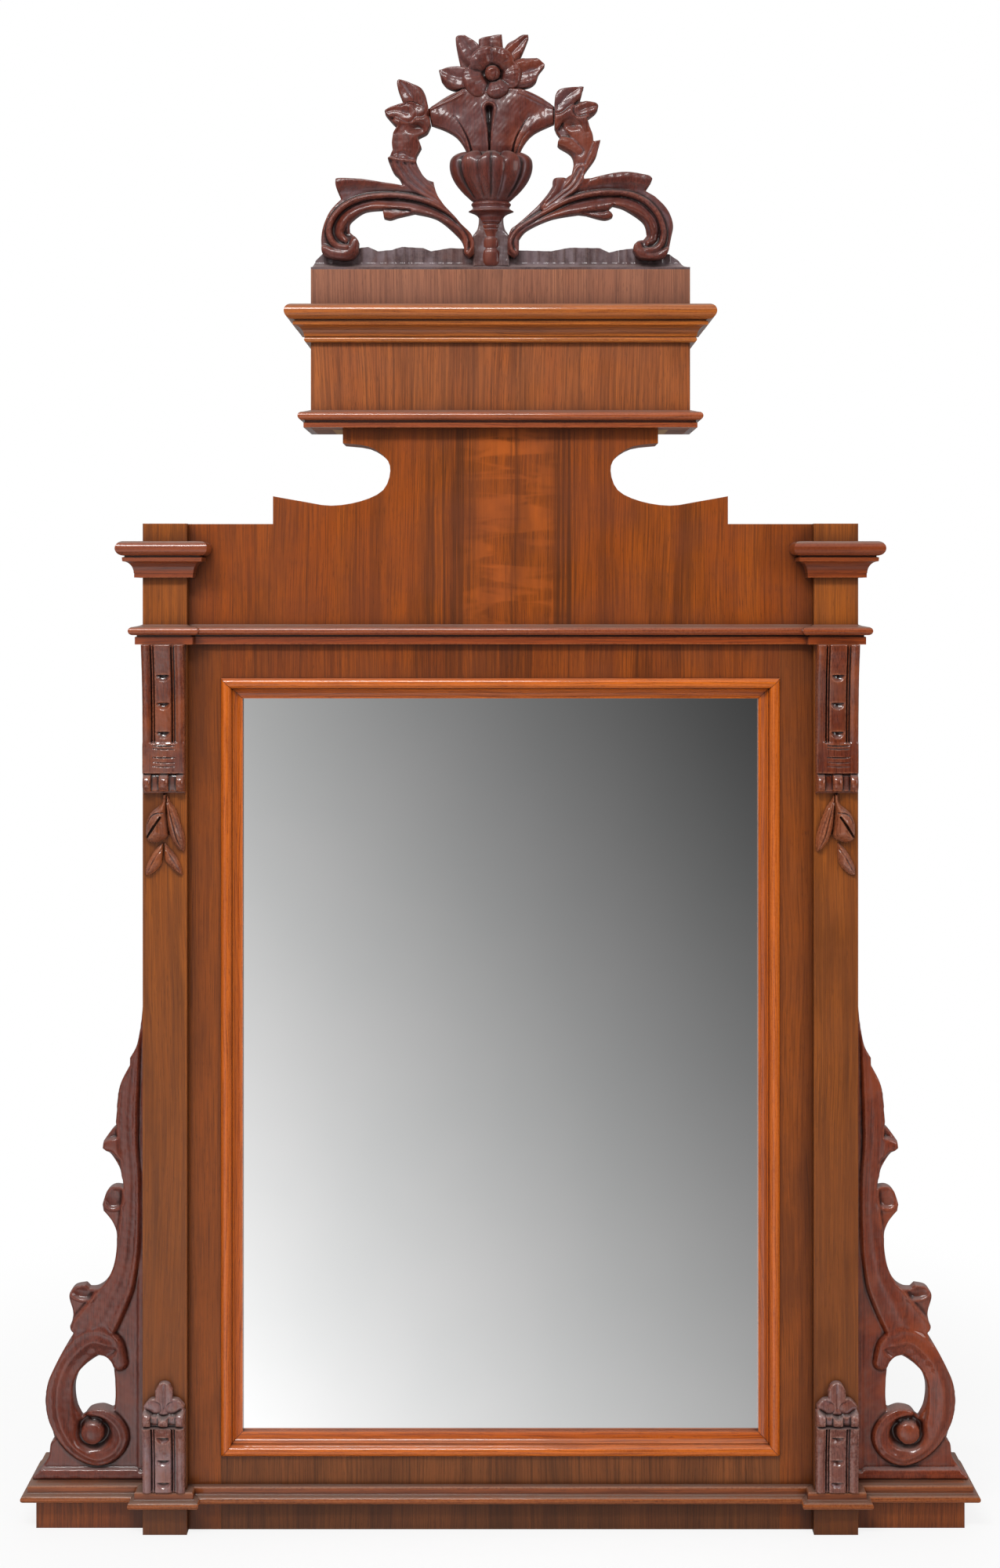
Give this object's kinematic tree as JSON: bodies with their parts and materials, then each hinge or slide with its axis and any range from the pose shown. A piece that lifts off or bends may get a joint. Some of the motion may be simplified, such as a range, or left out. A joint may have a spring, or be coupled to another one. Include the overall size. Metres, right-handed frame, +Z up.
{
  "type": "pier mirror",
  "caption": "Tall walnut pier mirror with pilasters, a cornice and frieze over a shaped board, pierced side wings and a carved urn crest.",
  "frame": {"origin": "centre of the footprint's bounding rectangle, on the floor plane under the plinth", "axes": "+Z up, the glass faces -Y, +X to the right of someone looking at the glass, the wall is at +Y"},
  "size_m": [1.0672, 0.118, 1.6705],
  "materials": {
    "walnut_veneer": "french polished figured walnut veneer, worn gloss",
    "walnut_moulding": "french polished solid walnut mouldings, glossy with dark grime in the quirks",
    "carved_wood": "dark red-brown stained carving, waxed, greyish dust in the hollows",
    "pine": "bare aged pine",
    "mirror_glass": "silvered plate glass, slightly aged"
  },
  "bodies": {
    "root": {"pilaster_left": "walnut_veneer", "pilaster_right": "walnut_veneer", "frame_stile_left": "walnut_veneer", "frame_stile_right": "walnut_veneer", "frame_top_rail": "walnut_veneer", "frame_bottom_rail": "walnut_veneer", "glass_moulding_top": "walnut_moulding", "glass_moulding_bottom": "walnut_moulding", "glass_moulding_left": "walnut_moulding", "glass_moulding_right": "walnut_moulding", "mirror_plate": "mirror_glass", "glazing_strip_left": "pine", "glazing_strip_right": "pine", "glazing_strip_top": "pine", "glazing_strip_bottom": "pine", "back_board_1": "pine", "back_board_2": "pine", "back_board_3": "pine", "pediment_board": "walnut_veneer", "frieze_front": "walnut_veneer", "frieze_side_left": "walnut_veneer", "frieze_side_right": "walnut_veneer", "frieze_bottom": "pine", "frieze_top": "pine", "attic_block": "walnut_veneer", "cornice_front": "walnut_moulding", "cornice_return_left": "walnut_moulding", "cornice_return_right": "walnut_moulding", "architrave_front": "walnut_moulding", "architrave_return_left": "walnut_moulding", "architrave_return_right": "walnut_moulding", "capital_left": "walnut_moulding", "capital_right": "walnut_moulding", "neck_moulding_left": "walnut_moulding", "neck_moulding_centre": "walnut_moulding", "neck_moulding_right": "walnut_moulding", "side_plinth_left": "walnut_veneer", "side_plinth_right": "walnut_veneer", "plinth_cap_centre": "walnut_moulding", "plinth_cap_pilaster_left": "walnut_moulding", "plinth_cap_pilaster_right": "walnut_moulding", "plinth_cap_side_left": "walnut_moulding", "plinth_cap_side_right": "walnut_moulding", "wing_left": "carved_wood", "wing_right": "carved_wood", "upper_corbel_left": "carved_wood", "upper_corbel_right": "carved_wood", "corbel_drop_left": "carved_wood", "corbel_drop_right": "carved_wood", "lower_corbel_left": "carved_wood", "lower_corbel_right": "carved_wood", "crest_ground": "carved_wood", "crest_urn": "carved_wood", "crest_scroll_left": "carved_wood", "crest_scroll_right": "carved_wood", "crest_flower": "carved_wood", "crest_dowel_left": "pine", "crest_dowel_right": "pine"}
  },
  "joints": []
}
